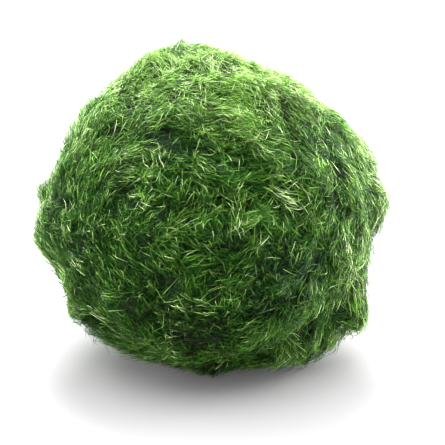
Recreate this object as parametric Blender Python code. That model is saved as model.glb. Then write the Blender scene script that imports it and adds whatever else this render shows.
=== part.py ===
"""Marimo moss ball: one matted ball of fine green threads, resting on a small flat spot.

The ball is one piece. Its body is a slightly flattened sphere with low lumps, hollows and
combed ridges. Locks of matted threads lie over it along the combed direction, sunk in at the
root and lifted at the tip, and are fused to it, with a few tufts that stand out of its
outline. +Z is up, -Y is the front, and the origin is the centre of the flat spot that the
ball rests on.
"""

import math
from collections import namedtuple

import bmesh
import bpy
from mathutils import Matrix, Vector, noise

# Driving dimensions, in metres
BALL_WIDTH = 0.0436
BALL_DEPTH = 0.0440
BALL_HEIGHT = 0.0428
REST_HEIGHT = 0.0212
RIDGE_HEIGHT = 0.0006
LOCK_LENGTH = 0.0125
LOCK_WIDTH = 0.0070
LOCK_THICKNESS = 0.0032
LOCK_LIFT = 0.0007
LOCK_SINK = 0.0010
LOCK_KEEL = 0.0020

# How the body is made up
BODY_CUTS = 12
RIDGES_AROUND = 2.2
RIDGES_ACROSS = 5.0
SHARP_ANGLE = math.radians(50)
MOSS_GREEN = (0.075, 0.17, 0.035, 1.0)
MOSS_ROUGHNESS = 0.85

# How the locks are made up
LOCK_COUNT = 60
LOWEST_LOCK = -0.77
LOCK_SIDES = 8
LOCK_STATIONS = (0.25, 0.55, 0.85)
SPINE_STEP = 0.05
GROOVE_DEPTH = 0.20
RAGGED_TIP = 0.10
LIFT_CURVE = 1.5
TIP_WIDTH = 0.22
TIP_BLUNTNESS = 0.6

# How far the locks stray from an even coat: in size, heading and lift
DRIFT_SCALE = 3.0
SIZE_DRIFT = 0.35
HEADING_DRIFT = 0.9
LIFT_DRIFT = 0.5
NOISE_SEED = 5

CENTRE = Vector((0, 0, REST_HEIGHT))
HALF_SIZE = Vector((BALL_WIDTH / 2, BALL_DEPTH / 2, BALL_HEIGHT / 2))
GOLDEN_TURN = math.pi * (3 - math.sqrt(5))
NEAR_POLE = 0.05

# The front view looks down on the ball by this much
VIEW_TILT = math.radians(18)

# The threads run in rings round this axis, which points out of the ball's front
WHORL_AXIS = Vector((0.095, -0.995, 0.0)).normalized()

# A place on the ball is given by its clock angle in the front view, in degrees with 0 at the
# right and 90 at the top, and by how far it is turned from the outline towards the viewer.
# A lump's rise is in metres, less than nothing for a hollow, and its spread is in degrees.
Lump = namedtuple("Lump", "clock toward rise spread")
LUMPS = {
    "crown": Lump(106, 4, 0.0020, 15),
    "upper_hollow": Lump(72, 0, -0.0007, 14),
    "right_shoulder": Lump(15, 0, 0.0019, 10),
    "right_cheek": Lump(4, 8, 0.0015, 12),
    "right_flank": Lump(342, 4, 0.0012, 9),
    "left_cheek": Lump(185, 6, 0.0013, 13),
    "left_hollow": Lump(155, 0, -0.0016, 9),
    "left_shoulder": Lump(134, 0, 0.0006, 10),
    "lower_left": Lump(230, 6, 0.0016, 12),
    "lower_right": Lump(305, 0, 0.0041, 14),
    "seat": Lump(270, -18, 0.0009, 22),
    "back": Lump(60, -88, 0.0010, 22),
    "back_left": Lump(170, -50, 0.0010, 18),
    "back_right": Lump(20, -48, 0.0009, 18),
}

# A tuft leaves the ball at its clock angle and turn, and its tip points to another clock
# angle. Its length, width and thickness and the lift of its tip are in metres.
Tuft = namedtuple("Tuft", "clock toward points_to length width thickness lift")
TUFTS = {
    "left_leaf": Tuft(181.5, -4, 150, 0.0042, 0.0042, 0.0028, 0.0026),
    "left_wing": Tuft(202, 2, 170, 0.0060, 0.0070, 0.0034, 0.0017),
    "left_spur": Tuft(211, 4, 180, 0.0046, 0.0040, 0.0024, 0.0008),
    "right_ear": Tuft(352.5, 1, 80, 0.0058, 0.0056, 0.0054, 0.0005),
    "right_step": Tuft(16, 4, 60, 0.0080, 0.0070, 0.0032, 0.0010),
    "upper_step": Tuft(28, 4, 80, 0.0056, 0.0070, 0.0030, 0.0005),
    "upper_spike": Tuft(34, -2, 80, 0.0030, 0.0022, 0.0018, 0.0014),
    "lower_right_flap": Tuft(339, 6, 300, 0.0060, 0.0090, 0.0046, 0.0036),
    "lower_right_tip": Tuft(336, -2, 300, 0.0052, 0.0052, 0.0034, 0.0044),
    "lower_right_heel": Tuft(333, 8, 300, 0.0055, 0.0060, 0.0040, 0.0020),
    "lower_left_tuft": Tuft(207, 2, 240, 0.0042, 0.0052, 0.0028, 0.0017),
    "bottom_wisp": Tuft(273, 16, 270, 0.0050, 0.0060, 0.0024, 0.0010),
}


def facing(clock, toward):
    """The direction from the ball's centre to this place."""
    around, turn = math.radians(clock), math.radians(toward)
    right = Vector((1, 0, 0))
    up = Vector((0, math.sin(VIEW_TILT), math.cos(VIEW_TILT)))
    viewer = right.cross(up).normalized()
    rim = math.cos(around) * right + math.sin(around) * up
    return (math.cos(turn) * rim + math.sin(turn) * viewer).normalized()


def lump_rise(direction):
    """How far the lumps raise the surface in this direction."""
    rise = 0.0
    for lump in LUMPS.values():
        away = direction.angle(facing(lump.clock, lump.toward))
        rise += lump.rise * math.exp(-((away / math.radians(lump.spread)) ** 2))
    return rise


def ridge_rise(direction):
    """Ridges of combed threads, long round the whorl and narrow across it."""
    along = max(-1.0, min(1.0, WHORL_AXIS.dot(direction)))
    rim = direction - along * WHORL_AXIS
    around = rim.normalized() * RIDGES_AROUND if rim.length > NEAR_POLE else Vector((0, 0, 0))
    across = WHORL_AXIS * (math.acos(along) * RIDGES_ACROSS)
    return RIDGE_HEIGHT * noise.noise(around + across)


def surface(direction, height=0.0):
    """The point of the body's surface in this direction, raised by height."""
    round_size = 1 / Vector([d / h for d, h in zip(direction, HALF_SIZE)]).length
    rise = lump_rise(direction) + ridge_rise(direction)
    return CENTRE + direction * (round_size + rise + height)


def lay(direction):
    """The way the threads lie at this place: round the whorl, with their tips upwards."""
    ring = WHORL_AXIS.cross(direction)
    if ring.length < NEAR_POLE:
        ring = Vector((1, 0, 0)).cross(direction)
    ring.normalize()
    return ring if ring.z > 0 else -ring


def fullness(t):
    """A lock's width at t of its length, as a share of its full width."""
    swell = max(0.0, math.sin(math.pi * (0.25 + 0.75 * t)))
    return TIP_WIDTH + (1 - TIP_WIDTH) * swell**TIP_BLUNTNESS


def straight_lock():
    """A lock before it is laid on the ball: a closed bar along +Z, one unit long, two wide."""
    bm = bmesh.new()
    bmesh.ops.create_cone(
        bm,
        cap_ends=True,
        cap_tris=True,
        segments=LOCK_SIDES,
        radius1=1.0,
        radius2=1.0,
        depth=1.0,
        matrix=Matrix.Translation((0, 0, 0.5)),
    )
    for station in LOCK_STATIONS:
        bmesh.ops.bisect_plane(
            bm,
            geom=bm.verts[:] + bm.edges[:] + bm.faces[:],
            plane_co=(0, 0, station),
            plane_no=(0, 0, 1),
        )
    return bm


def laid_lock(name, root, heading, length, width, thickness, lift):
    """A grooved lock that leaves the body at root, follows it and lifts at its ragged tip."""
    side = root.cross(heading).normalized()
    turn = length / CENTRE.z

    def height(t):
        return -LOCK_SINK + (LOCK_SINK + lift) * t**LIFT_CURVE

    def spine(t):
        direction = (Matrix.Rotation(turn * t, 3, side) @ root).normalized()
        return surface(direction, height(t))

    bm = straight_lock()
    for v in bm.verts:
        x, y, t = v.co
        ridge = round(math.atan2(y, x) / math.tau * LOCK_SIDES) % 2 == 0
        size = fullness(t) * (1.0 if ridge else 1.0 - GROOVE_DEPTH)
        half_thickness = size * thickness / 2
        # Short of its tip, the underside reaches down into the body
        if y < 0 and t <= LOCK_STATIONS[-1]:
            half_thickness = max(half_thickness, height(t) + LOCK_KEEL)
        t *= 1.0 + RAGGED_TIP if ridge else 1.0
        here = spine(t)
        up = (spine(t + SPINE_STEP) - here).normalized().cross(side)
        v.co = here + side * (x * size * width / 2) + up * (y * half_thickness)
    bmesh.ops.recalc_face_normals(bm, faces=bm.faces[:])
    mesh = bpy.data.meshes.new(name)
    bm.to_mesh(mesh)
    bm.free()
    return bpy.data.objects.new(name, mesh)


def combed_locks():
    """Locks spread evenly over the ball, each lying the way the threads do."""
    locks = []
    for i in range(LOCK_COUNT):
        height = 1 - 2 * (i + 0.5) / LOCK_COUNT
        if height < LOWEST_LOCK:
            break
        ring, around = math.sqrt(1 - height**2), i * GOLDEN_TURN
        middle = Vector((ring * math.cos(around), ring * math.sin(around), height))
        drift = noise.noise_vector(middle * DRIFT_SCALE)
        size = 1 + SIZE_DRIFT * drift.x
        heading = Matrix.Rotation(HEADING_DRIFT * drift.y, 3, middle) @ lay(middle)
        side = middle.cross(heading)
        root = Matrix.Rotation(-size * LOCK_LENGTH / CENTRE.z / 2, 3, side) @ middle
        locks.append(
            laid_lock(
                f"lock_{i:02d}",
                root,
                side.cross(root),
                size * LOCK_LENGTH,
                size * LOCK_WIDTH,
                size * LOCK_THICKNESS,
                LOCK_LIFT * (1 + LIFT_DRIFT * drift.z),
            )
        )
    return locks


def standing_tufts():
    """The tufts that stand out of the ball's outline."""
    tufts = []
    for name, tuft in TUFTS.items():
        root = facing(tuft.clock, tuft.toward)
        target = facing(tuft.points_to, 0)
        heading = (target - root * target.dot(root)).normalized()
        tufts.append(
            laid_lock(name, root, heading, tuft.length, tuft.width, tuft.thickness, tuft.lift)
        )
    return tufts


def floor_cutter():
    """A block that cuts the flat spot where the ball meets the floor."""
    bm = bmesh.new()
    side = 2 * BALL_WIDTH
    bmesh.ops.create_cube(bm, size=side, matrix=Matrix.Translation((0, 0, -side / 2)))
    mesh = bpy.data.meshes.new("floor_cutter")
    bm.to_mesh(mesh)
    bm.free()
    return bpy.data.objects.new("floor_cutter", mesh)


def moss_material():
    """Soft, rough moss green."""
    material = bpy.data.materials.new("moss")
    material.use_nodes = True
    shader = material.node_tree.nodes["Principled BSDF"]
    shader.inputs["Base Color"].default_value = MOSS_GREEN
    shader.inputs["Roughness"].default_value = MOSS_ROUGHNESS
    shader.inputs["Metallic"].default_value = 0.0
    return material


def moss_body():
    """The ball without its locks."""
    bm = bmesh.new()
    bmesh.ops.create_cube(bm, size=1.0)
    bmesh.ops.subdivide_edges(bm, edges=bm.edges[:], cuts=BODY_CUTS, use_grid_fill=True)
    for v in bm.verts:
        v.co = surface(v.co.normalized())
    mesh = bpy.data.meshes.new("moss_ball")
    bm.to_mesh(mesh)
    bm.free()
    mesh.shade_smooth()
    mesh.set_sharp_from_angle(angle=SHARP_ANGLE)
    mesh.materials.append(moss_material())
    return bpy.data.objects.new("moss_ball", mesh)


def fuse_and_flatten(ball, locks, floor):
    """Joins the locks to the ball and cuts its flat spot."""
    fuse = ball.modifiers.new("fuse_locks", "BOOLEAN")
    fuse.operation = "UNION"
    fuse.operand_type = "COLLECTION"
    fuse.collection = locks
    flat = ball.modifiers.new("flat_spot", "BOOLEAN")
    flat.operation = "DIFFERENCE"
    flat.object = floor
    graph = bpy.context.evaluated_depsgraph_get()
    ball.data = bpy.data.meshes.new_from_object(ball.evaluated_get(graph))
    ball.modifiers.clear()


def shells_of(bm):
    """The mesh's faces, in sets that hang together."""
    shells, unseen = [], set(bm.faces)
    while unseen:
        shell, front = set(), [unseen.pop()]
        while front:
            face = front.pop()
            shell.add(face)
            beside = {f for e in face.edges for f in e.link_faces} & unseen
            unseen -= beside
            front.extend(beside)
        shells.append(shell)
    return shells


def fill_pockets(ball):
    """Removes the closed pockets left under crossed locks, so that only the skin is left."""
    bm = bmesh.new()
    bm.from_mesh(ball.data)
    bmesh.ops.triangulate(bm, faces=bm.faces[:])
    shells = sorted(shells_of(bm), key=len)
    pockets = [face for shell in shells[:-1] for face in shell]
    bmesh.ops.delete(bm, geom=pockets, context="FACES")
    bm.to_mesh(ball.data)
    bm.free()


def main():
    for obj in list(bpy.data.objects):
        bpy.data.objects.remove(obj)
    noise.seed_set(NOISE_SEED)

    parts = bpy.data.collections.new("marimo_moss_ball")
    locks = bpy.data.collections.new("locks")
    cutters = bpy.data.collections.new("cutters")
    for collection in (parts, locks, cutters):
        bpy.context.scene.collection.children.link(collection)

    ball = moss_body()
    parts.objects.link(ball)
    floor = floor_cutter()
    cutters.objects.link(floor)
    for lock in combed_locks() + standing_tufts():
        locks.objects.link(lock)
    for shape in [floor, *locks.objects]:
        shape.hide_render = True
        shape.display_type = "WIRE"

    fuse_and_flatten(ball, locks, floor)
    fill_pockets(ball)


main()
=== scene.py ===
"""Marimo moss ball: the look of one matted ball of fine green threads.

A dense mat stands for the inner tangle. Closed, tapering threads grow out of it in clumps,
and the clumps hang together in locks. The front is combed in short strokes, and the rest in
rings round a whorl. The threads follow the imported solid's own lumps, locks and tufts, and end
close to its surface. +Z is up and -Y is the front.
"""

import math
from collections import namedtuple
from functools import cache

import bmesh
import bpy
import numpy as np
from bpy.props import FloatProperty, FloatVectorProperty, IntProperty, PointerProperty
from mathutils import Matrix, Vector
from mathutils.bvhtree import BVHTree


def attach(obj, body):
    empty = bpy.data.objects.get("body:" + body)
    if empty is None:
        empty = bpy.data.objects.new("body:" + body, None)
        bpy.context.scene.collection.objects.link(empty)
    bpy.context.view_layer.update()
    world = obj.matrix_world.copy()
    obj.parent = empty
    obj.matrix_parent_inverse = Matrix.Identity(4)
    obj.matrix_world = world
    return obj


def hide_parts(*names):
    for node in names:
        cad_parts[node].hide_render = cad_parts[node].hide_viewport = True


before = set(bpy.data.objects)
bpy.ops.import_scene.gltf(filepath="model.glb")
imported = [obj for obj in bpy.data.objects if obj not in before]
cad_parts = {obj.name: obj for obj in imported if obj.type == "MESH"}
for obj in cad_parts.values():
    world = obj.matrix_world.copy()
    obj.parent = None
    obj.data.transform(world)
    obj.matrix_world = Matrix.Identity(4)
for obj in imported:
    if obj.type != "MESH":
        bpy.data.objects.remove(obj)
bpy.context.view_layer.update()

bl_info = {
    "name": "Marimo Moss Ball",
    "version": (1, 0, 0),
    "blender": (4, 5, 0),
    "location": "View3D > Sidebar > Moss Ball",
    "description": "Grows the threads of a marimo moss ball and lights it on a pale floor",
    "category": "Add Mesh",
}

NODE = "moss_ball"
BODY = "root"

# In metres: the middle of the ball, which all its threads grow away from, its mean radius, a
# distance from its middle that is outside all of it, and how far threads stay off the floor
CENTRE = np.array((0.0, 0.0, 0.0212))
MEAN_RADIUS = 0.0222
OUTSIDE = 0.05
FLOOR_GAP = 0.00012
TINY = 1e-12

# Where they aren't combed, the threads run in rings round this axis, which points out of the
# ball's front. VIEW_TILT is how far the front view looks down.
WHORL_AXIS = np.array((0.095, -0.995, 0.0)) / math.hypot(0.095, 0.995)
VIEW_TILT = math.radians(18)
GOLDEN_TURN = math.pi * (3 - math.sqrt(5))

# How finely the solid's outer surface is read, in steps from pole to pole and round, and over
# how many steps it is softened
READ_DOWN, READ_ROUND = 360, 720
SOFTENING = 3

# Each tuft's place on the ball and size, the same as in the solid: its clock angle in the
# front view, with 0 at the right and 90 at the top, its turn towards the viewer and the clock
# angle that its tip points to, all in degrees, and its length, width and thickness in metres.
# gather is how far its threads draw together at the tip, and light how much lighter they are. It
# is painted light where the tuft stands out at the outline, and painted shade where it is below 0,
# as under the ball.
Tuft = namedtuple("Tuft", "clock toward points_to length width thickness gather light")
TUFTS = {
    "left_leaf": Tuft(181.5, -4, 150, 0.0042, 0.0042, 0.0028, 0.8, 0.18),
    "left_wing": Tuft(202, 2, 170, 0.0060, 0.0070, 0.0034, 0.3, 0.12),
    "left_spur": Tuft(211, 4, 180, 0.0046, 0.0040, 0.0024, 0.4, 0.04),
    "right_ear": Tuft(352.5, 1, 80, 0.0058, 0.0056, 0.0054, 0.0, 0.24),
    "right_step": Tuft(16, 4, 60, 0.0080, 0.0070, 0.0032, 0.2, 0.10),
    "upper_step": Tuft(28, 4, 80, 0.0056, 0.0070, 0.0030, 0.1, 0.04),
    "upper_spike": Tuft(34, -2, 80, 0.0030, 0.0022, 0.0018, 0.8, 0.16),
    "lower_right_flap": Tuft(339, 6, 300, 0.0060, 0.0090, 0.0046, 0.1, 0.10),
    "lower_right_tip": Tuft(336, -2, 300, 0.0052, 0.0052, 0.0034, 0.2, 0.14),
    "lower_right_heel": Tuft(333, 8, 300, 0.0055, 0.0060, 0.0040, 0.1, 0.06),
    "lower_left_tuft": Tuft(207, 2, 240, 0.0042, 0.0052, 0.0028, 0.4, 0.04),
    "bottom_wisp": Tuft(273, 16, 270, 0.0050, 0.0060, 0.0024, 0.0, -0.12),
}

# How the front is combed: a place as in TUFTS, the clock angle that the tips there point to,
# and how tangled the threads are, from 0 to 1. COMB_REACH is how far a comb works.
Comb = namedtuple("Comb", "clock toward runs tangle")
COMBS = (
    Comb(150, 45, 28, 0.1),
    Comb(175, 32, 30, 0.4),
    Comb(188, 51, 20, 0.5),
    Comb(170, 50, 20, 0.4),
    Comb(202, 39, 40, 0.6),
    Comb(117, 28, 325, 0.4),
    Comb(93, 28, 310, 0.3),
    Comb(73, 32, 300, 0.3),
    Comb(120, 49, 345, 0.4),
    Comb(100, 40, 315, 0.3),
    Comb(162, 67, 30, 0.4),
    Comb(136, 80, 30, 0.2),
    Comb(133, 62, 355, 0.3),
    Comb(98, 70, 345, 0.3),
    Comb(70, 56, 315, 0.1),
    Comb(49, 47, 300, 0.3),
    Comb(30, 66, 315, 0.1),
    Comb(29, 43, 260, 0.5),
    Comb(10, 43, 250, 0.4),
    Comb(212, 83, 10, 0.9),
    Comb(345, 35, 265, 0.8),
    Comb(217, 53, 110, 0.7),
    Comb(224, 41, 85, 0.7),
    Comb(235, 66, 100, 0.6),
    Comb(248, 55, 135, 0.7),
    Comb(277, 74, 140, 0.8),
    Comb(298, 66, 136, 0.9),
    Comb(309, 36, 230, 0.8),
    Comb(323, 10, 248, 0.7),
    Comb(249, 41, 85, 0.7),
    Comb(273, 46, 95, 0.7),
    Comb(338, 58, 217, 0.9),
)
COMB_REACH = math.radians(12)

# Places near the outline are combed as if they faced the viewer this much, where 1 is squarely
LEAST_FACING = 0.25

# How much the rings round the whorl count where a comb counts 1, and how tangled the threads
# are away from the combs. Within WHORL_SPREAD of the whorl's two ends they are more tangled.
UNCOMBED, UNCOMBED_TANGLE = 0.05, 0.35
WHORL_SPREAD = math.radians(26)

# The threads also swirl a little, by a fineness and a turn in radians. Fine swirls turn
# tangled threads further.
BROAD_SWIRL, BROAD_TURN = 5.0, 0.12
FINE_SWIRL, FINE_TURN, TANGLED_TURN = 17.0, 0.12, 0.25

# Smooth random numbers are sums of this many waves, whose fineness differs by these factors
DRIFT_WAVES = 14
DRIFT_SCALES = (0.6, 1.5)

# The threads' map, how wide a thread is on it, and where its root and tip are, as shares of it
THREAD_MAP = "OFBake"
MAP_WIDTH = 0.002
MAP_ENDS = (0.01, 0.99)

# A thread's radius along it and at its last bend, as shares of its thickness, and how far its
# wave turns from root to tip, in radians
RADIUS, LAST_RADIUS = 0.58, 0.46
WAVE_TURN = 5.0

# Each thing that is left to chance has its own random numbers, from this far after the seed
LOCK_STREAM, MAT_STREAM, HOLLOW_STREAM = 3, 9, 11
LAYER_STREAM, TUFT_STREAM, LOOSE_STREAM = 10, 50, 90

# How the threads grow, layer by layer: the number of clumps and of threads in each, then in metres
# a thread's length and thickness, how far a clump's roots spread along and across it, how deep
# they are, and how far the tips are above the solid's surface on average and by chance. The
# clump's and the thread's own turns are in radians, wild is the share of threads that go astray,
# tones are from 0 to 1 and lower in the deeper layers as painted shade, and stations are the
# places of a thread's bends.
Layer = namedtuple(
    "Layer",
    "clumps per_clump length thickness along across depth lift lift_spread clump_turn"
    " thread_turn wild tone tone_spread stations",
)
SIMPLE = (0.0, 0.6, 1.0)
SHORT = (0.0, 0.42, 0.80, 1.0)
# The deeper layers have lower tones, as painted shade
LAYERS = {
    "under": Layer(
        clumps=2300, per_clump=11, length=0.0028, thickness=0.00011, along=0.0007,
        across=0.0006, depth=0.0022, lift=-0.0010, lift_spread=0.00020, clump_turn=0.3,
        thread_turn=0.25, wild=0.12, tone=0.26, tone_spread=0.10, stations=SIMPLE,
    ),
    "coat": Layer(
        clumps=2500, per_clump=23, length=0.0030, thickness=0.000078, along=0.0008,
        across=0.00040, depth=0.0018, lift=-0.00030, lift_spread=0.00030, clump_turn=0.08,
        thread_turn=0.08, wild=0.05, tone=0.42, tone_spread=0.18, stations=SIMPLE,
    ),
    "top": Layer(
        clumps=2700, per_clump=11, length=0.0026, thickness=0.000064, along=0.0007,
        across=0.00032, depth=0.0013, lift=0.00005, lift_spread=0.00025, clump_turn=0.10,
        thread_turn=0.10, wild=0.10, tone=0.53, tone_spread=0.20, stations=SHORT,
    ),
}

# How clumps differ: their size as a factor, how much of their width is gone at the tips, how
# soon their threads come up, their tone, and their lift as a factor of the layer's spread
CLUMP_SIZES = (0.75, 1.35)
CLUMP_PINCHES = (0.1, 0.7)
CLUMP_RISES = (0.25, 0.50)
CLUMP_TONE = 0.05
CLUMP_LIFT = 0.7

# How threads differ: their length, depth and thickness as factors, their lift as a factor of
# the layer's spread, and a hook to one side and a wave as shares of their length. CRINKLE
# moves each bend, in metres. A wild thread turns by about WILD_TURN and rises by up to FUZZ,
# and no tip is higher over the solid than HIGHEST_TIP.
THREAD_LENGTHS = (0.55, 1.3)
THREAD_DEPTHS = (0.8, 1.1)
THREAD_THICKNESSES = (0.75, 1.25)
THREAD_LIFT = 0.9
HOOK = 0.14
WAVE = 0.06
CRINKLE = 0.00004
WILD_TURN = 0.9
FUZZ = 0.0010
HIGHEST_TIP = 0.0010

# The clumps hang together in locks, which are LOCK_STRETCH times as long as they are wide.
# Lifts and drops are in metres, tones and shades are from 0 to 1, and LOCK_SCATTER is how far
# the locks are from an even spread.
LOCK_COUNT = 950
LOCK_SCATTER = 1.6
LOCK_STRETCH = 1.8
LOCK_HALF_WIDTH = 0.00105
LOCK_LIFT = 0.00020
LOCK_TONE = 0.07

# How far a lock turns aside by chance anywhere, in radians, and how much further a lock, a
# clump and a thread turn, and how many more threads are wild, where all is fully tangled
LOCK_TURN = 0.26
LOCK_TANGLE, CLUMP_TANGLE, THREAD_TANGLE, WILD_TANGLE = 0.5, 0.15, 0.12, 0.12

# A lock's threads bend in towards its middle line, from at most WIDEST half widths. A lock is
# lower at its edges, by at most DEEPEST_EDGE times the drop, and at its root end, so that the tips
# of one stand over the roots of the next, and it is painted darker there as shade. Small hollows,
# HOLLOW_SCALE fine, are lower and painted darker as shade too.
LOCK_PINCH = 0.55
WIDEST = 1.5
DEEPEST_EDGE = 2.0
EDGE_DROP, EDGE_PAINTED_SHADE = 0.00040, 0.13
ROOT_DROP, ROOT_PAINTED_SHADE = 0.00030, 0.08
HOLLOW_SCALE = 19.0
HOLLOW_DEPTH, HOLLOW_PAINTED_SHADE = 0.00030, 0.06

# How much of these differences is gone at the very top and bottom of the ball
CROWN_CALM, BASE_CALM = 0.95, 0.45

# Tones on the threads' map: where the faded brown ones and the grey-green ones of painted sheen
# begin and end, and where each green is
FADED_AND_SHEEN = {"brown": (0.0, 0.06), "grey": (0.08, 0.15)}
GREENS = {"deep": 0.17, "mid": 0.45, "fresh": 0.72, "pale": 0.97}

# How bright a thread is from its root to its tip, by the place on the map: painted shade at the
# root, where it lies deep among the other threads, and a painted highlight towards the tip
PAINTED_SHADE_AND_HIGHLIGHT = ((0.0, 0.08), (0.35, 0.30), (0.6, 1.0), (0.85, 2.0), (1.0, 1.6))
THREAD_FINISH = {
    "Roughness": 0.28,
    "Specular IOR Level": 0.28,
    "Specular Tint": (0.85, 1.0, 0.62, 1.0),
}

# Patches where some threads are faded brown, and patches where some are grey-green as a painted
# sheen: the place as in TUFTS, its spread in degrees, and whether they are brown or grey. The
# share below is how many are turned in the patch's middle.
PATCHES = (
    (120, 45, 16, "grey"),
    (36, 38, 14, "grey"),
    (325, 50, 13, "grey"),
    (54, 34, 11, "brown"),
    (262, 42, 13, "brown"),
    (270, 8, 10, "brown"),
)
PATCH_SHARE = 0.28

# How much lighter the threads are by place. The drifts are by chance, with a stream after the
# seed, a fineness and a strength. The regions are painted light and shade. The top, the crown, the
# outline and the right are lighter as painted light, and the bottom is lighter as painted light
# from the floor. The places that face the viewer are darker as painted shade, and anywhere is the
# same all over. A region's number is for its middle, and front counts the places that face the
# viewer squarely. The right is narrower the higher its power.
TONE_DRIFTS = ((5, 4.0, 0.06), (6, 22.0, 0.08), (7, 45.0, 0.05))
PAINTED_REGION_LIGHT = {
    "anywhere": 0.02,
    "height": 0.07,
    "crown": 0.20,
    "facing": -0.07,
    "front": -0.07,
    "outline": 0.04,
    "right": 0.05,
    "low": 0.05,
}
OUTLINE_SPREAD = 0.35
RIGHT_CLOCK, RIGHT_POWER = 345, 10

# How much less the drifts are at the top
CROWN_EVENNESS = 0.5

# Loose threads: half of them are near the whorl, within LOOSE_SPREAD of its middle. Their
# lengths, depths, lifts and thickness are in metres.
LOOSE_STATIONS = (0.0, 0.15, 0.4, 0.65, 0.9, 1.0)
LOOSE_SPREAD = 0.8
LOOSE_LENGTHS = (0.002, 0.0055)
LOOSE_DEPTHS = (0.0003, 0.0012)
LOOSE_LIFTS = (-0.0003, 0.0006)
LOOSE_RISES = (0.4, 0.9)
LOOSE_WAVE = 0.035
LOOSE_TONE, LOOSE_TONE_SPREAD, LOOSE_TONES = 0.54, 0.16, (0.3, 0.9)
LOOSE_THICKNESS, LOOSE_THICKNESSES = 0.000055, (0.8, 1.3)

# A tuft's threads are in wisps, WISP_DENSITY of them to the square millimetre. A wisp ends at
# these factors of the tuft's length, sooner at the sides by TUFT_TAPER. It turns and hooks by
# chance, and inwards at the sides by WISP_CLOSING. It is sunk by up to WISP_DEPTH of the tuft's
# thickness, which the curve makes rarer, and deeper wisps are painted darker as shade.
TUFT_STATIONS = (0.0, 0.3, 0.6, 0.85, 1.0)
WISP_DENSITY = 0.5
SQUARE_MM = 1e6
THREADS_PER_WISP = 16
WISP_ENDS = (0.75, 1.12)
TUFT_TAPER = 0.6
WISP_TURN, WISP_HOOK, WISP_CLOSING = 0.20, 0.12, 0.3
WISP_DEPTH, WISP_DEPTH_CURVE = 0.9, 1.3
WISP_TONE, WISP_TONE_SPREAD, WISP_PAINTED_SHADE = 0.46, 0.09, 0.10

# How the threads of a wisp differ: where they start and end and their least length, as shares
# of the tuft's length, their turn and hook, how far they draw together, and in metres how far
# aside, deep and scattered at the tip they are. A stray one goes further and may be brown.
TUFT_STARTS = (-0.4, 0.5)
TUFT_ENDS, STRAY_END, LEAST_LENGTH = 0.09, 0.12, 0.35
TUFT_TURN, TUFT_HOOK, TUFT_PINCH = 0.10, 0.12, 0.7
TUFT_ASIDE, TUFT_SUNK, TUFT_SCATTER = 0.00032, 0.00025, 0.00015
TUFT_TONE, TUFT_TONES = 0.15, (0.2, 1.0)
TUFT_THICKNESS = 0.00009
STRAY_SHARE, STRAY_TURN, STRAY_BROWN = 0.10, 0.25, 0.4

# A tuft's threads take their height from the solid's tuft, within these shares of its width
# and length, and their roots lie this far below it, further where the tuft gathers
TUFT_HALF_WIDTH, TUFT_REACH = 0.42, 0.9
TUFT_ROOT, GATHERED_ROOT = 0.0004, 0.0010

# The mat's shape, with its lumps' fineness and share of its depth, and its streaks: how fine,
# how light at each place on their ramp, as a factor of the mat's colour, and how raised
MAT_SUBDIVISIONS = 5
MAT_FLOOR_GAP = 3 * FLOOR_GAP
MAT_LUMP_SCALE, MAT_LUMPS = 60.0, 0.16
STREAKS = {"Scale": 2200.0, "Detail": 4.0}
STREAK_TONES = ((0.3, 0.35), (0.55, 1.0), (0.75, 2.6))
STREAK_BUMP = {"Strength": 0.6, "Distance": 0.0003}
MAT_ROUGHNESS = 0.8

# The camera's lens and sensor in millimetres, how near and far it sees in metres, and how far
# the view is shifted off the ball's middle, in pixels of the picture
LENS, SENSOR_WIDTH = 100, 36
NEAREST, FURTHEST = 0.005, 10
PICTURE_WIDTH = 445
VIEW_SHIFT = (13.5, -9.5)

# Each light's name and its setting's, and in degrees how wide it is, how far round from +X and
# how high over the floor it comes from
LIGHTS = (
    ("high_light", "high", 90, 80, 85),
    ("key_light", "key", 25, 98, 60),
    ("left_light", "left", 30, 147, 4),
    ("right_light", "right", 30, 20, 12),
)
FLOOR_SIDES = 96
WHITE = (1, 1, 1, 1)
FLOOR_FINISH = {"Roughness": 0.7, "Specular IOR Level": 0.0, "Emission Color": WHITE}

# How high the sky begins to grow brighter, where 1 is straight up
SKY_FROM = 0.1

# The coat's pieces, by the way that each one faces
SIDES = {
    "front": (0, -1, 0),
    "back": (0, 1, 0),
    "left": (-1, 0, 0),
    "right": (1, 0, 0),
    "crown": (0, 0, 1),
    "base": (0, 0, -1),
}


class ThreadSettings(bpy.types.PropertyGroup):
    """Sizes and numbers of the threads and the mat."""

    length: FloatProperty(
        name="Length",
        description="Makes all threads longer or shorter",
        default=1.0,
        min=0.1,
        max=3.0,
        subtype="FACTOR",
    )
    thickness: FloatProperty(
        name="Thickness",
        description="Makes all threads thicker or thinner",
        default=1.0,
        min=0.1,
        max=5.0,
        subtype="FACTOR",
    )
    mat_depth: FloatProperty(
        name="Mat depth",
        description="How far the dense mat lies below the tips",
        default=0.0016,
        subtype="DISTANCE",
        unit="LENGTH",
    )
    loose: IntProperty(
        name="Loose threads", description="Long threads that cross the others", default=320, min=2
    )
    seed: IntProperty(name="Seed", description="Which way the threads fall", default=7, min=0)


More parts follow.
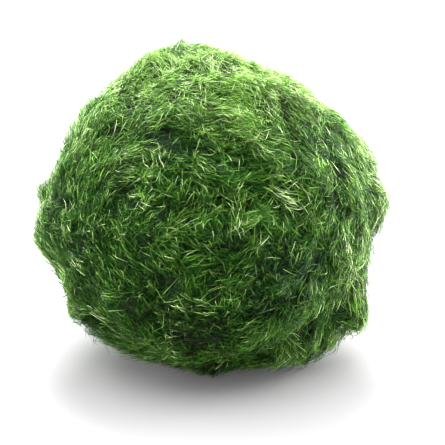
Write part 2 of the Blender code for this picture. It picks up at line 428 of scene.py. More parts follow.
class ColourSettings(bpy.types.PropertyGroup):
    """Colours of the threads and the mat."""

    # Darker than any thread's colour, partly as painted shade in the depth below the threads
    mat: FloatVectorProperty(
        name="Mat",
        description="The inner tangle's colour",
        default=(0.004, 0.020, 0.002),
        subtype="COLOR",
    )
    brown: FloatVectorProperty(
        name="Brown",
        description="Faded brown threads",
        default=(0.05, 0.05, 0.02),
        subtype="COLOR",
    )
    # A grey-green painted sheen on some threads in patches
    grey: FloatVectorProperty(
        name="Grey green",
        description="Cool grey-green threads",
        default=(0.055, 0.11, 0.062),
        subtype="COLOR",
    )
    deep: FloatVectorProperty(
        name="Deep green",
        description="The darkest threads",
        default=(0.004, 0.036, 0.0015),
        subtype="COLOR",
    )
    mid: FloatVectorProperty(
        name="Mid green",
        description="Most threads",
        default=(0.022, 0.102, 0.008),
        subtype="COLOR",
    )
    fresh: FloatVectorProperty(
        name="Fresh green",
        description="Lighter threads",
        default=(0.16, 0.32, 0.045),
        subtype="COLOR",
    )
    pale: FloatVectorProperty(
        name="Pale green",
        description="The palest threads",
        default=(0.54, 0.71, 0.34),
        subtype="COLOR",
    )


class StageSettings(bpy.types.PropertyGroup):
    """Camera, floor and lights."""

    camera_distance: FloatProperty(
        name="Camera distance",
        description="From the ball's middle",
        default=0.1731,
        subtype="DISTANCE",
        unit="LENGTH",
    )
    camera_height: FloatProperty(
        name="Camera angle",
        description="How far the camera looks down",
        default=VIEW_TILT,
        subtype="ANGLE",
        unit="ROTATION",
    )
    floor_radius: FloatProperty(
        name="Floor radius",
        description="Half the floor's width",
        default=1.2,
        subtype="DISTANCE",
        unit="LENGTH",
    )
    high: FloatProperty(name="High", description="Strength of the high soft light", default=6.1)
    key: FloatProperty(name="Key", description="Strength of the light from behind", default=5.0)
    left: FloatProperty(name="Left", description="Strength of the left light", default=6.0)
    right: FloatProperty(name="Right", description="Strength of the right light", default=6.2)
    sky: FloatProperty(name="Sky", description="Strength of the light all round", default=0.17)
    zenith: FloatProperty(name="Zenith", description="Strength of the sky overhead", default=3.0)
    floor: FloatVectorProperty(
        name="Floor",
        description="The floor's colour",
        default=(0.275, 0.275, 0.275),
        subtype="COLOR",
    )
    glow: FloatProperty(
        name="Floor glow", description="Light that the floor gives off itself", default=0.07
    )


def unit(vectors):
    """These vectors at length one."""
    return vectors / np.maximum(np.linalg.norm(vectors, axis=-1, keepdims=True), TINY)


def drift(places, seed, scale):
    """Three smooth random numbers from about -1 to 1 for each place, alike for near places."""
    rng = np.random.default_rng(seed)
    found = np.zeros((len(places), 3))
    for _ in range(DRIFT_WAVES):
        heading = unit(rng.normal(size=3)) * scale * rng.uniform(*DRIFT_SCALES)
        phase = rng.uniform(0, math.tau, 3)
        found += np.sin((places @ heading)[:, None] + phase)
    return found / math.sqrt(DRIFT_WAVES)


def spread_directions(count, rng, scatter):
    """Directions spread evenly over a sphere, each moved a little at random."""
    i = np.arange(count)
    height = 1 - 2 * (i + 0.5) / count
    ring, around = np.sqrt(1 - height**2), i * GOLDEN_TURN
    even = np.stack([ring * np.cos(around), ring * np.sin(around), height], 1)
    return unit(even + rng.normal(size=(count, 3)) * scatter / math.sqrt(count))


def facing(clock, toward):
    """The direction from the ball's middle to a place given as in TUFTS."""
    around, turn = math.radians(clock), math.radians(toward)
    right = np.array((1.0, 0.0, 0.0))
    up = np.array((0.0, math.sin(VIEW_TILT), math.cos(VIEW_TILT)))
    viewer = np.cross(right, up)
    rim = math.cos(around) * right + math.sin(around) * up
    return unit(math.cos(turn) * rim + math.sin(turn) * viewer)


def turned(heading, at, turn):
    """Headings turned by this much on the surface."""
    side = np.cross(at, heading)
    return unit(heading * np.cos(turn)[:, None] + side * np.sin(turn)[:, None])


def combed(ways, runs):
    """The direction along the surface that looks, in the front view, as if it points there."""
    target, viewer = facing(runs, 0), facing(0, 90)
    forward = -(ways @ target) / np.maximum(ways @ viewer, LEAST_FACING)
    heading = target + forward[:, None] * viewer
    return unit(heading - ways * (ways * heading).sum(1)[:, None])


def angles_from(ways, middle):
    """How far these directions are turned from another one, in radians."""
    return np.arccos(np.clip(ways @ middle, -1, 1))


def lay(ways, seed):
    """The way the threads lie at these directions, and how tangled they are there."""
    heading = UNCOMBED * unit(np.cross(ways, WHORL_AXIS))
    from_end = np.arcsin(np.clip(np.linalg.norm(np.cross(WHORL_AXIS, ways), axis=1), 0, 1))
    weight = np.full(len(ways), UNCOMBED)
    tangle = UNCOMBED * (UNCOMBED_TANGLE + np.exp(-((from_end / WHORL_SPREAD) ** 2)))
    for comb in COMBS:
        away = angles_from(ways, facing(comb.clock, comb.toward))
        near = np.exp(-((away / COMB_REACH) ** 2))
        heading += near[:, None] * combed(ways, comb.runs)
        weight += near
        tangle += near * comb.tangle
    heading, tangle = unit(heading), tangle / weight
    broad = drift(ways, seed, BROAD_SWIRL)
    fine = drift(ways, seed + 1, FINE_SWIRL)
    turn = BROAD_TURN * broad[:, 0] + (FINE_TURN + TANGLED_TURN * tangle) * fine[:, 1]
    return turned(heading, ways, turn), tangle


class Form:
    """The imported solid's outer surface, as a distance from the ball's middle."""

    def __init__(self):
        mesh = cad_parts[NODE].data
        points = [v.co.copy() for v in mesh.vertices]
        faces = [tuple(p.vertices) for p in mesh.polygons]
        tree = BVHTree.FromPolygons(points, faces)
        down = (np.arange(READ_DOWN) + 0.5) * math.pi / READ_DOWN
        around = np.arange(READ_ROUND) * math.tau / READ_ROUND
        down, around = np.meshgrid(down, around, indexing="ij")
        ways = np.stack(
            [np.sin(down) * np.cos(around), np.sin(down) * np.sin(around), np.cos(down)], -1
        )
        middle = Vector(CENTRE)
        self.sharp = np.empty(down.shape)
        for row in range(READ_DOWN):
            for column in range(READ_ROUND):
                way = Vector(ways[row, column])
                hit = tree.ray_cast(middle + way * OUTSIDE, -way)[0]
                self.sharp[row, column] = (hit - middle).length
        self.soft = self.softened(self.sharp)

    @staticmethod
    def softened(reach):
        """The reach averaged with its neighbours."""
        span = 2 * SOFTENING
        steps = np.arange(-span, span + 1)
        weights = np.exp(-0.5 * (steps / SOFTENING) ** 2)
        weights /= weights.sum()
        round_it = sum(w * np.roll(reach, s, axis=1) for w, s in zip(weights, steps))
        padded = np.pad(round_it, ((span, span), (0, 0)), mode="edge")
        return sum(w * padded[k : k + len(reach)] for k, w in enumerate(weights))

    def reach(self, ways, sharp=False):
        """How far the surface is from the middle in these directions."""
        grid = self.sharp if sharp else self.soft
        ways = unit(ways)
        down = np.arccos(np.clip(ways[..., 2], -1, 1)) * READ_DOWN / math.pi - 0.5
        around = np.arctan2(ways[..., 1], ways[..., 0]) % math.tau * READ_ROUND / math.tau
        down = np.clip(down, 0, READ_DOWN - 1.001)
        row, column = down.astype(int), around.astype(int)
        low, side = down - row, around - column
        column, beside = column % READ_ROUND, (column + 1) % READ_ROUND
        upper = grid[row, column] * (1 - side) + grid[row, beside] * side
        lower = grid[row + 1, column] * (1 - side) + grid[row + 1, beside] * side
        return upper * (1 - low) + lower * low


Bends = namedtuple("Bends", "pinch hook wave phase kinks")


def thread_paths(form, stations, at, heading, offset, length, bends, depth, lift, rise):
    """Points along crinkled threads that leave the mat and bend over along their heading.

    offset is each root's place along and across its clump. The bends are the share of the
    across part that is gone at the tip, a sideways hook and a wave's size, both as shares of
    the length, the wave's phase, and each point's own step aside. depth is the root's depth
    below the surface, lift the tip's height over it, and rise how soon the thread comes up.
    """
    side = np.cross(at, heading)
    paths = np.empty((len(at), len(stations), 3))
    for k, t in enumerate(stations):
        along = offset[:, 0] + length * t
        across = offset[:, 1] * (1 - bends.pinch * t) + bends.hook * length * t * t
        wave = np.sin(WAVE_TURN * t + bends.phase) - np.sin(bends.phase)
        across = across + bends.wave * length * wave
        across = across + bends.kinks[:, k]
        way = unit(at + (along[:, None] * heading + across[:, None] * side) / MEAN_RADIUS)
        height = -depth + (depth + lift) * t**rise
        paths[:, k] = CENTRE + way * (form.reach(way) + height)[:, None]
    paths[:, :, 2] = np.maximum(paths[:, :, 2], FLOOR_GAP)
    return paths


Threads = namedtuple("Threads", "paths thickness tone stations at")


def some_of(threads, chosen):
    """The chosen threads."""
    names = ("paths", "thickness", "tone", "at")
    return threads._replace(**{name: getattr(threads, name)[chosen] for name in names})


def tubes(threads):
    """Corners, faces and map of closed three-sided threads that taper to a point at both ends.

    The map gives each thread's tone across and the place along it upwards.
    """
    paths, thickness, tone, stations, _ = threads
    count, points = paths.shape[:2]
    rings = points - 2
    per_thread = 3 * rings + 2
    tangent = unit(paths[:, 2:] - paths[:, :-2])
    out = unit(paths[:, 1:-1] - CENTRE)
    beside = unit(np.cross(tangent, out))
    over = np.cross(beside, tangent)
    corners = np.empty((count, per_thread, 3))
    corners[:, 0] = paths[:, 0]
    corners[:, -1] = paths[:, -1]
    for r in range(rings):
        radius = thickness[:, None] * (RADIUS if r < rings - 1 else LAST_RADIUS)
        for c in range(3):
            turn = math.tau * c / 3 + math.pi / 2
            arm = beside[:, r] * math.cos(turn) + over[:, r] * math.sin(turn)
            corners[:, 1 + 3 * r + c] = paths[:, 1 + r] + arm * radius
    corners[:, :, 2] = np.maximum(corners[:, :, 2], FLOOR_GAP / 2)

    faces = [(0, 1 + c, 1 + (c + 1) % 3) for c in range(3)]
    for r in range(rings - 1):
        low, high = 1 + 3 * r, 4 + 3 * r
        for c in range(3):
            d = (c + 1) % 3
            faces.append((low + c, high + c, high + d, low + d))
    last = 1 + 3 * (rings - 1)
    faces += [(last + (c + 1) % 3, last + c, per_thread - 1) for c in range(3)]
    loops = np.array([corner for face in faces for corner in face])
    loops = (loops[None] + np.arange(count)[:, None] * per_thread).ravel()
    sizes = np.tile([len(face) for face in faces], count)

    across = np.zeros((count, per_thread))
    across[:, 1:-1] = np.tile((-1.0, 0.0, 1.0), rings)[None] * MAP_WIDTH
    across += 2 * MAP_WIDTH + (1 - 4 * MAP_WIDTH) * np.clip(tone, 0, 1)[:, None]
    upward = np.empty(per_thread)
    upward[0], upward[-1] = MAP_ENDS
    upward[1:-1] = np.repeat(np.asarray(stations)[1:-1], 3)
    places = np.stack([across, np.broadcast_to(upward, across.shape)], -1).reshape(-1, 2)
    return corners.reshape(-1, 3), loops, sizes, places[loops]


def thread_mesh(name, bundles):
    """One mesh of all these bundles of threads."""
    parts = [tubes(bundle) for bundle in bundles if len(bundle.at)]
    moved, first = [], 0
    for corners, loops, _, _ in parts:
        moved.append(loops + first)
        first += len(corners)
    corners = np.concatenate([part[0] for part in parts])
    loops = np.concatenate(moved)
    sizes = np.concatenate([part[2] for part in parts])
    places = np.concatenate([part[3] for part in parts])
    starts = np.concatenate([[0], np.cumsum(sizes)[:-1]])
    mesh = bpy.data.meshes.new(name)
    mesh.vertices.add(len(corners))
    mesh.vertices.foreach_set("co", corners.astype(np.float32).ravel())
    mesh.loops.add(len(loops))
    mesh.loops.foreach_set("vertex_index", loops.astype(np.int32))
    mesh.polygons.add(len(starts))
    mesh.polygons.foreach_set("loop_start", starts.astype(np.int32))
    mesh.update(calc_edges=True)
    layer = mesh.uv_layers.new(name=THREAD_MAP, do_init=False)
    layer.uv.foreach_set("vector", places.astype(np.float32).ravel())
    mesh.shade_smooth()
    return mesh


def placed(name, data):
    """A new object in the scene."""
    thing = bpy.data.objects.new(name, data)
    bpy.context.scene.collection.objects.link(thing)
    return thing


def show(name, mesh, material):
    """Puts a finished piece on the ball."""
    mesh.materials.append(material)
    piece = placed(name, mesh)
    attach(piece, BODY)
    return piece


def new_material(name):
    """A new material, its node tree and its shader."""
    material = bpy.data.materials.new(name)
    material.use_nodes = True
    tree = material.node_tree
    return material, tree, tree.nodes["Principled BSDF"]


def set_inputs(node, values):
    """Gives a node's sockets these values, by their names."""
    for name, value in values.items():
        node.inputs[name].default_value = value


def ramp_node(tree, stops):
    """A colour ramp with these places and colours."""
    node = tree.nodes.new("ShaderNodeValToRGB")
    ramp = node.color_ramp
    while len(ramp.elements) > 1:
        ramp.elements.remove(ramp.elements[-1])
    for k, (place, colour) in enumerate(stops):
        stop = ramp.elements[0] if k == 0 else ramp.elements.new(place)
        stop.position = place
        stop.color = (*colour, 1.0)
    return node


def thread_material():
    """The threads: each one's tone goes across the map, and its root to tip upwards, with painted
    shade at the root and a painted highlight towards the tip.
    """
    found = bpy.data.materials.get("moss_thread")
    if found:
        return found
    colours = bpy.context.scene.moss_colours
    material, tree, shader = new_material("moss_thread")
    place = tree.nodes.new("ShaderNodeUVMap")
    place.uv_map = THREAD_MAP
    split = tree.nodes.new("ShaderNodeSeparateXYZ")
    tree.links.new(place.outputs["UV"], split.inputs[0])
    stops = [(where, getattr(colours, name)) for name, ends in FADED_AND_SHEEN.items() for where in ends]
    stops += [(where, getattr(colours, name)) for name, where in GREENS.items()]
    tone = ramp_node(tree, stops)
    tree.links.new(split.outputs["X"], tone.inputs["Fac"])
    # Painted shade at each thread's root and a painted highlight towards its tip
    along = ramp_node(tree, [(where, (light,) * 3) for where, light in PAINTED_SHADE_AND_HIGHLIGHT])
    tree.links.new(split.outputs["Y"], along.inputs["Fac"])
    mix = tree.nodes.new("ShaderNodeMix")
    mix.data_type = "RGBA"
    mix.blend_type = "MULTIPLY"
    set_inputs(mix, {"Factor": 1.0})
    tree.links.new(tone.outputs["Color"], mix.inputs["A"])
    tree.links.new(along.outputs["Color"], mix.inputs["B"])
    tree.links.new(mix.outputs["Result"], shader.inputs["Base Color"])
    set_inputs(shader, THREAD_FINISH)
    return material


def mat_material():
    """The inner tangle: dark green, darker than the threads partly as painted shade, with fine
    lighter streaks.
    """
    colours = bpy.context.scene.moss_colours
    material, tree, shader = new_material("moss_mat")
    place = tree.nodes.new("ShaderNodeTexCoord")
    noise = tree.nodes.new("ShaderNodeTexNoise")
    set_inputs(noise, STREAKS)
    tree.links.new(place.outputs["Object"], noise.inputs["Vector"])
    stops = [(where, [share * c for c in colours.mat]) for where, share in STREAK_TONES]
    tone = ramp_node(tree, stops)
    tree.links.new(noise.outputs["Fac"], tone.inputs["Fac"])
    tree.links.new(tone.outputs["Color"], shader.inputs["Base Color"])
    bump = tree.nodes.new("ShaderNodeBump")
    set_inputs(bump, STREAK_BUMP)
    tree.links.new(noise.outputs["Fac"], bump.inputs["Height"])
    tree.links.new(bump.outputs["Normal"], shader.inputs["Normal"])
    set_inputs(shader, {"Roughness": MAT_ROUGHNESS})
    return material


def drifts_and_painted_light(ways, seed):
    """How much lighter the threads are at these directions: by chance, and by painted light and
    shade in regions.
    """
    light = sum(
        strength * drift(ways, seed + stream, scale)[:, 0]
        for stream, scale, strength in TONE_DRIFTS
    )
    height, front = ways[:, 2], ways @ facing(0, 90)
    shown = np.maximum(front, 0)
    crown = np.maximum(height, 0) ** 2
    light = light * (1 - CROWN_EVENNESS * crown)
    regions = {
        "height": height,
        "crown": crown,
        "facing": shown,
        "anywhere": 1.0,
        "outline": np.exp(-((front / OUTLINE_SPREAD) ** 2)),
        "right": np.maximum(ways @ facing(RIGHT_CLOCK, 0), 0) ** RIGHT_POWER,
        "front": shown**2,
        "low": np.maximum(-height, 0),
    }
    for name, share in regions.items():
        light = light + PAINTED_REGION_LIGHT[name] * share
    return light


def faded_and_sheen(tone, ways, rng):
    """These tones with some threads turned faded brown, and some grey-green as a painted sheen, in
    the patches.
    """
    tone = np.clip(tone, GREENS["deep"], 1.0)
    for clock, toward, spread, kind in PATCHES:
        away = angles_from(ways, facing(clock, toward)) / math.radians(spread)
        chosen = rng.random(len(tone)) < PATCH_SHARE * np.exp(-(away**2))
        tone = np.where(chosen, rng.uniform(*FADED_AND_SHEEN[kind], len(tone)), tone)
    return tone


Locks = namedtuple("Locks", "heading edge end lift tone tangle")


def locks_at(ways, seed):
    """The lock that holds each of these places, and where in it the place is.

    edge is how far the place is from the lock's middle line, in half widths, and end how far
    it is towards the lock's tip, in half lengths.
    """
    rng = np.random.default_rng(seed + LOCK_STREAM)
    middles = spread_directions(LOCK_COUNT, rng, LOCK_SCATTER)
    headings, tangle = lay(middles, seed)
    turn = rng.normal(0, 1, LOCK_COUNT) * (LOCK_TURN + LOCK_TANGLE * tangle)
    headings = turned(headings, middles, turn)
    sides = np.cross(middles, headings)
    lift = rng.normal(0, LOCK_LIFT, LOCK_COUNT)
    tone = rng.normal(0, LOCK_TONE, LOCK_COUNT)
    apart = ways[:, None] - middles[None]
    along = np.einsum("ijk,jk->ij", apart, headings)
    across = np.einsum("ijk,jk->ij", apart, sides)
    behind = np.einsum("ijk,jk->ij", apart, middles)
    away = (along / LOCK_STRETCH) ** 2 + across**2 + behind**2
    mine = away.argmin(1)
    rows = np.arange(len(ways))
    heading = headings[mine] - ways * (headings[mine] * ways).sum(1)[:, None]
    width = LOCK_HALF_WIDTH / MEAN_RADIUS
    edge = across[rows, mine] / width
    end = along[rows, mine] / (width * LOCK_STRETCH)
    return Locks(unit(heading), edge, end, lift[mine], tone[mine], tangle[mine])


Clumps = namedtuple("Clumps", "at heading tangle size calm lift base light pinch hook gather rise")


def clumps_of(layer, seed, rng):
    """A layer's clumps: where they are, how they lie and how high and light they are. Their
    lightness holds painted light and shade by region, and painted shade at lock edges, lock root
    ends and hollows. lift is the clump's own, by chance, and base is what its lock and the hollows
    give it.
    """
    count = layer.clumps
    at = spread_directions(count, rng, 1.0)
    locks = locks_at(at, seed)
    turn = rng.normal(0, 1, count) * (layer.clump_turn + CLUMP_TANGLE * locks.tangle)
    size = rng.uniform(*CLUMP_SIZES, count)
    calm = 1 - CROWN_CALM * np.maximum(at[:, 2], 0) ** 3
    calm -= BASE_CALM * np.maximum(-at[:, 2], 0)
    edge = np.minimum(locks.edge**2, DEEPEST_EDGE) * calm
    end = np.clip(-locks.end, -1.0, 1.0) * calm
    hollow = drift(at, seed + HOLLOW_STREAM, HOLLOW_SCALE)[:, 0] * calm
    lift = rng.normal(0, 1, count)
    # Tone by chance, with painted light and shade by region
    light = layer.tone + drifts_and_painted_light(at, seed) + rng.normal(0, CLUMP_TONE, count) * calm
    # Painted shade at the lock's edges and root end and in the hollows
    light += locks.tone - EDGE_PAINTED_SHADE * edge - ROOT_PAINTED_SHADE * end - HOLLOW_PAINTED_SHADE * hollow
    return Clumps(
        at=at,
        heading=turned(locks.heading, at, turn),
        tangle=locks.tangle,
        size=size,
        calm=calm,
        lift=lift,
        base=locks.lift - EDGE_DROP * edge - ROOT_DROP * end - HOLLOW_DEPTH * hollow,
        light=light,
        pinch=rng.uniform(*CLUMP_PINCHES, count),
        hook=rng.normal(0, HOOK, count),
        gather=-LOCK_PINCH * LOCK_HALF_WIDTH * np.clip(locks.edge, -WIDEST, WIDEST),
        rise=rng.uniform(*CLUMP_RISES, count),
    )


def grow(form, layer, settings, stream):
    """One layer of clumped threads over the whole ball."""
    rng = np.random.default_rng(settings.seed + stream)
    clumps = clumps_of(layer, settings.seed, rng)
    owner = np.repeat(np.arange(layer.clumps), layer.per_clump)
    total = len(owner)
    clumps = Clumps(*(values[owner] for values in clumps))

    wild = rng.random(total) < layer.wild + WILD_TANGLE * clumps.tangle
    turn = rng.normal(0, 1, total) * (layer.thread_turn + THREAD_TANGLE * clumps.tangle)
    turn += wild * rng.normal(0, WILD_TURN, total)
    heading = turned(clumps.heading, clumps.at, turn)
    offset = rng.normal(0, 1, (total, 2)) * (layer.along, layer.across) * clumps.size[:, None]
    length = settings.length * layer.length * clumps.size
    length = length * rng.uniform(*THREAD_LENGTHS, total)
    bends = Bends(
        pinch=clumps.pinch,
        hook=clumps.hook + clumps.gather / length + rng.normal(0, HOOK, total),
        wave=rng.normal(0, WAVE, total),
        phase=rng.uniform(0, math.tau, total),
        kinks=rng.normal(0, CRINKLE, (total, len(layer.stations))),
    )
    depth = layer.depth * rng.uniform(*THREAD_DEPTHS, total)
    chance = CLUMP_LIFT * clumps.lift + rng.normal(0, THREAD_LIFT, total)
    lift = layer.lift + layer.lift_spread * chance
    lift += clumps.base + wild * rng.random(total) * FUZZ
    lift = np.minimum(lift, HIGHEST_TIP)
    paths = thread_paths(
        form, layer.stations, clumps.at, heading, offset, length, bends, depth, lift, clumps.rise
    )
    thickness = settings.thickness * layer.thickness * rng.uniform(*THREAD_THICKNESSES, total)
    tone = clumps.light + rng.normal(0, layer.tone_spread, total) * clumps.calm
    tone = faded_and_sheen(tone, clumps.at, rng)
    return Threads(paths, thickness, tone, layer.stations, clumps.at)


def loose_threads(form, settings):
    """Long threads that lie across the others all ways, half of them near the whorl."""
    rng = np.random.default_rng(settings.seed + LOOSE_STREAM)
    count = settings.loose
    half = count // 2
    aside = unit(rng.normal(0, 1, (half, 3))) * rng.random((half, 1)) ** 0.5 * LOOSE_SPREAD
    far = unit(rng.normal(0, 1, (count - half, 3)))
    at = np.concatenate([unit(WHORL_AXIS + aside), far])
    heading = unit(np.cross(at, rng.normal(0, 1, (count, 3))))
    length = settings.length * rng.uniform(*LOOSE_LENGTHS, count)
    bends = Bends(
        pinch=np.zeros(count),
        hook=rng.normal(0, HOOK, count),
        wave=rng.normal(0, LOOSE_WAVE, count),
        phase=rng.uniform(0, math.tau, count),
        kinks=rng.normal(0, CRINKLE, (count, len(LOOSE_STATIONS))),
    )
    paths = thread_paths(
        form,
        LOOSE_STATIONS,
        at,
        heading,
        np.zeros((count, 2)),
        length,
        bends,
        rng.uniform(*LOOSE_DEPTHS, count),
        rng.uniform(*LOOSE_LIFTS, count),
        rng.uniform(*LOOSE_RISES, count),
    )
    tone = np.clip(rng.normal(LOOSE_TONE, LOOSE_TONE_SPREAD, count), *LOOSE_TONES)
    thickness = settings.thickness * LOOSE_THICKNESS * rng.uniform(*LOOSE_THICKNESSES, count)
    return Threads(paths, thickness, tone, LOOSE_STATIONS, at)


Wisps = namedtuple("Wisps", "place end turn hook sunk tone")


def wisps_of(tuft, rng):
    """A tuft's wisps: each one's place across it, its end, bends, depth and tone, with the tuft's
    painted light and painted shade for the deeper ones.
    """
    count = int(WISP_DENSITY * tuft.length * tuft.width * SQUARE_MM)
    place = rng.uniform(-0.5, 0.5, count)
    end = rng.uniform(*WISP_ENDS, count) * (1 - TUFT_TAPER * place**2)
    turn = rng.normal(0, WISP_TURN, count) - WISP_CLOSING * place
    hook = rng.normal(0, WISP_HOOK, count)
    sunk = rng.random(count) ** WISP_DEPTH_CURVE * tuft.thickness * WISP_DEPTH
    # The tuft's light is painted light, and painted shade where it is below 0
    tone = WISP_TONE + tuft.light + rng.normal(0, WISP_TONE_SPREAD, count)
    # Deeper wisps painted darker as shade
    return Wisps(place, end, turn, hook, sunk, tone - WISP_PAINTED_SHADE * sunk / tuft.thickness)


def tuft_threads(form, tuft, settings, stream):
    """The threads of one tuft: small wisps that fill the lock that the solid has there."""
    rng = np.random.default_rng(settings.seed + stream)
    root, target = facing(tuft.clock, tuft.toward), facing(tuft.points_to, 0)
    heading = unit(target - root * (target @ root))
    side = np.cross(root, heading)
    length, width = tuft.length, tuft.width
    wisps = wisps_of(tuft, rng)
    owner = np.repeat(np.arange(len(wisps.place)), THREADS_PER_WISP)
    total = len(owner)
    wisps = Wisps(*(values[owner] for values in wisps))

    stray = rng.random(total) < STRAY_SHARE
    own = rng.normal(0, TUFT_ASIDE, total)
    start = rng.uniform(*TUFT_STARTS, total) * length
    end = length * (wisps.end + rng.normal(0, TUFT_ENDS, total) + STRAY_END * stray)
    reach_out = np.maximum(end, start + LEAST_LENGTH * length) - start
    turn = wisps.turn + rng.normal(0, TUFT_TURN, total) + stray * rng.normal(0, STRAY_TURN, total)
    hook = wisps.hook + rng.normal(0, TUFT_HOOK, total)
    sunk = wisps.sunk + rng.normal(0, TUFT_SUNK, total)
    paths = np.empty((total, len(TUFT_STATIONS), 3))
    for k, t in enumerate(TUFT_STATIONS):
        along = start + reach_out * t
        aside = wisps.place * width * (1 - tuft.gather * t) + own * (1 - TUFT_PINCH * t)
        aside = aside + reach_out * (np.tan(turn) * t + hook * t * t)
        way = unit(root + (along[:, None] * heading + aside[:, None] * side) / MEAN_RADIUS)
        within = np.clip(aside, -TUFT_HALF_WIDTH * width, TUFT_HALF_WIDTH * width)
        held = np.minimum(along, TUFT_REACH * length)[:, None] * heading + within[:, None] * side
        reach = form.reach(unit(root + held / MEAN_RADIUS), sharp=True)
        low = (TUFT_ROOT + GATHERED_ROOT * tuft.gather) * (1 - t) ** 2
        paths[:, k] = CENTRE + way * (reach - np.maximum(sunk, 0) - low)[:, None]
    paths[:, -1] += rng.normal(0, TUFT_SCATTER, (total, 3))
    paths[:, :, 2] = np.maximum(paths[:, :, 2], FLOOR_GAP)
    tone = np.clip(wisps.tone + rng.normal(0, TUFT_TONE, total), *TUFT_TONES)
    brown = stray & (rng.random(total) < STRAY_BROWN)
    tone = np.where(brown, rng.uniform(*FADED_AND_SHEEN["brown"], total), tone)
    thickness = settings.thickness * TUFT_THICKNESS * rng.uniform(*THREAD_THICKNESSES, total)
    return Threads(paths, thickness, tone, TUFT_STATIONS, np.broadcast_to(root, (total, 3)))


@cache
def the_form():
    """The solid's surface, read once."""
    return Form()


class MOSS_OT_mat(bpy.types.Operator):
    """Lay the dense mat that the threads grow out of"""

    bl_idname = "moss.mat"
    bl_label = "Dense mat"

    def execute(self, context):
        settings = context.scene.moss_threads
        bm = bmesh.new()
        bmesh.ops.create_icosphere(bm, subdivisions=MAT_SUBDIVISIONS, radius=1.0)
        ways = unit(np.array([v.co[:] for v in bm.verts]))
        lumps = drift(ways, settings.seed + MAT_STREAM, MAT_LUMP_SCALE)[:, 0]
        reach = the_form().reach(ways) - settings.mat_depth * (1 + MAT_LUMPS * lumps)
        places = CENTRE + ways * reach[:, None]
        places[:, 2] = np.maximum(places[:, 2], MAT_FLOOR_GAP)
        for v, place in zip(bm.verts, places):
            v.co = place
        bmesh.ops.recalc_face_normals(bm, faces=bm.faces[:])
        mesh = bpy.data.meshes.new("moss_mat")
        bm.to_mesh(mesh)
        bm.free()
        mesh.shade_smooth()
        mat = show("moss_mat", mesh, mat_material())
        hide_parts(NODE)
        return {"FINISHED"}


class MOSS_OT_coat(bpy.types.Operator):
    """Grow the combed coat, in one piece for each side of the ball"""

    bl_idname = "moss.coat"
    bl_label = "Combed coat"

    def execute(self, context):
        settings = context.scene.moss_threads
        layers = [
            grow(the_form(), layer, settings, LAYER_STREAM * k)
            for k, layer in enumerate(LAYERS.values())
        ]
        ways = np.array(list(SIDES.values())).T
        material = thread_material()
        for k, name in enumerate(SIDES):
            mine = [some_of(layer, (layer.at @ ways).argmax(1) == k) for layer in layers]
            show(f"coat_{name}", thread_mesh(f"coat_{name}", mine), material)
        return {"FINISHED"}


class MOSS_OT_tufts(bpy.types.Operator):
    """Grow the tufts that stand out of the ball's outline"""

    bl_idname = "moss.tufts"
    bl_label = "Standing tufts"

    def execute(self, context):
        settings = context.scene.moss_threads
        bundles = [
            tuft_threads(the_form(), tuft, settings, TUFT_STREAM + k)
            for k, tuft in enumerate(TUFTS.values())
        ]
        show("tufts", thread_mesh("tufts", bundles), thread_material())
        return {"FINISHED"}


class MOSS_OT_loose(bpy.types.Operator):
    """Lay loose long threads across the coat"""

    bl_idname = "moss.loose"
    bl_label = "Loose threads"

    def execute(self, context):
        threads = loose_threads(the_form(), context.scene.moss_threads)
        show("loose_threads", thread_mesh("loose_threads", [threads]), thread_material())
        return {"FINISHED"}


def add_camera(scene, settings):
    """The camera in front of the ball, which looks down on it."""
    data = bpy.data.cameras.new("camera")
    data.lens = LENS
    data.sensor_width = SENSOR_WIDTH
    data.shift_x, data.shift_y = [shift / PICTURE_WIDTH for shift in VIEW_SHIFT]
    data.clip_start, data.clip_end = NEAREST, FURTHEST
    camera = placed("camera", data)
    tilt = settings.camera_height
    away = Vector((0, -math.cos(tilt), math.sin(tilt)))
    camera.location = Vector(CENTRE) + away * settings.camera_distance
    camera.rotation_euler = (math.pi / 2 - tilt, 0, 0)
    scene.camera = camera


def add_floor(settings):
    """The plain pale floor, which glows faintly."""
    bm = bmesh.new()
    bmesh.ops.create_circle(bm, cap_ends=True, segments=FLOOR_SIDES, radius=settings.floor_radius)
    mesh = bpy.data.meshes.new("stage_floor")
    bm.to_mesh(mesh)
    bm.free()
    material, _, shader = new_material("stage_floor")
    set_inputs(shader, {"Base Color": (*settings.floor, 1), "Emission Strength": settings.glow})
    set_inputs(shader, FLOOR_FINISH)
    mesh.materials.append(material)
    floor = placed("stage_floor", mesh)


def add_lights(settings):
    """The soft lights above, behind and beside the ball."""
    for name, setting, angle, clock, height in LIGHTS:
        data = bpy.data.lights.new(name, "SUN")
        data.energy = getattr(settings, setting)
        data.angle = math.radians(angle)
        light = placed(name, data)
        up, around = math.radians(height), math.radians(clock)
        source = Vector(
            (math.cos(up) * math.cos(around), math.cos(up) * math.sin(around), math.sin(up))
        )
        light.rotation_euler = source.to_track_quat("Z", "Y").to_euler()


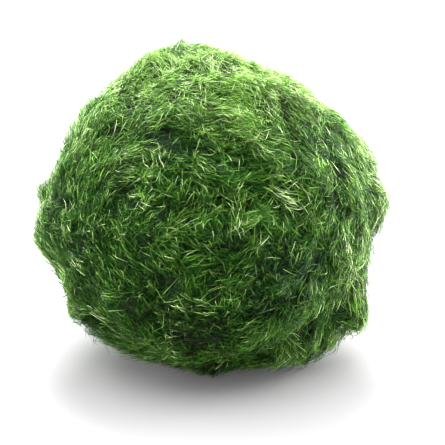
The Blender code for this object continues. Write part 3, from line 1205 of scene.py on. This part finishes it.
def add_room(scene, settings):
    """White all round for the camera, with light that comes mostly from overhead."""
    world = bpy.data.worlds.new("white_room")
    scene.world = world
    world.use_nodes = True
    tree = world.node_tree
    shine = tree.nodes["Background"]
    place = tree.nodes.new("ShaderNodeTexCoord")
    split = tree.nodes.new("ShaderNodeSeparateXYZ")
    rise = tree.nodes.new("ShaderNodeMapRange")
    rise.interpolation_type = "SMOOTHSTEP"
    set_inputs(rise, {"From Min": SKY_FROM, "From Max": 1.0})
    set_inputs(rise, {"To Min": settings.sky, "To Max": settings.zenith})
    tree.links.new(place.outputs["Generated"], split.inputs[0])
    tree.links.new(split.outputs["Z"], rise.inputs["Value"])
    tree.links.new(rise.outputs["Result"], shine.inputs["Strength"])
    seen = tree.nodes.new("ShaderNodeBackground")
    for light in (shine, seen):
        set_inputs(light, {"Color": WHITE})
    rays = tree.nodes.new("ShaderNodeLightPath")
    mix = tree.nodes.new("ShaderNodeMixShader")
    tree.links.new(rays.outputs["Is Camera Ray"], mix.inputs[0])
    tree.links.new(shine.outputs[0], mix.inputs[1])
    tree.links.new(seen.outputs[0], mix.inputs[2])
    tree.links.new(mix.outputs[0], tree.nodes["World Output"].inputs["Surface"])


class MOSS_OT_stage(bpy.types.Operator):
    """Set up the camera, the floor and the soft light"""

    bl_idname = "moss.stage"
    bl_label = "Stage"

    def execute(self, context):
        scene, settings = context.scene, context.scene.moss_stage
        add_camera(scene, settings)
        add_floor(settings)
        add_lights(settings)
        add_room(scene, settings)
        scene.view_settings.view_transform = "Standard"
        return {"FINISHED"}


class MOSS_PT_panel(bpy.types.Panel):
    """The moss ball's pieces, in the order in which they are made"""

    bl_idname = "MOSS_PT_panel"
    bl_label = "Moss Ball"
    bl_space_type = "VIEW_3D"
    bl_region_type = "UI"
    bl_category = "Moss Ball"

    def draw(self, context):
        for group in GROUPS:
            settings = getattr(context.scene, group)
            for name in settings.bl_rna.properties.keys():
                if name not in ("rna_type", "name"):
                    self.layout.prop(settings, name)
        for piece in OPERATORS:
            self.layout.operator(piece.bl_idname)


GROUPS = {
    "moss_threads": ThreadSettings,
    "moss_colours": ColourSettings,
    "moss_stage": StageSettings,
}
OPERATORS = (MOSS_OT_mat, MOSS_OT_coat, MOSS_OT_tufts, MOSS_OT_loose, MOSS_OT_stage)


def register():
    for kind in (*GROUPS.values(), *OPERATORS, MOSS_PT_panel):
        bpy.utils.register_class(kind)
    for name, kind in GROUPS.items():
        setattr(bpy.types.Scene, name, PointerProperty(type=kind))


def unregister():
    for name in GROUPS:
        delattr(bpy.types.Scene, name)
    for kind in reversed((*GROUPS.values(), *OPERATORS, MOSS_PT_panel)):
        bpy.utils.unregister_class(kind)


def main():
    register()
    bpy.ops.moss.mat()
    bpy.ops.moss.coat()
    bpy.ops.moss.tufts()
    bpy.ops.moss.loose()
    bpy.ops.moss.stage()


if __name__ == "__main__":
    main()
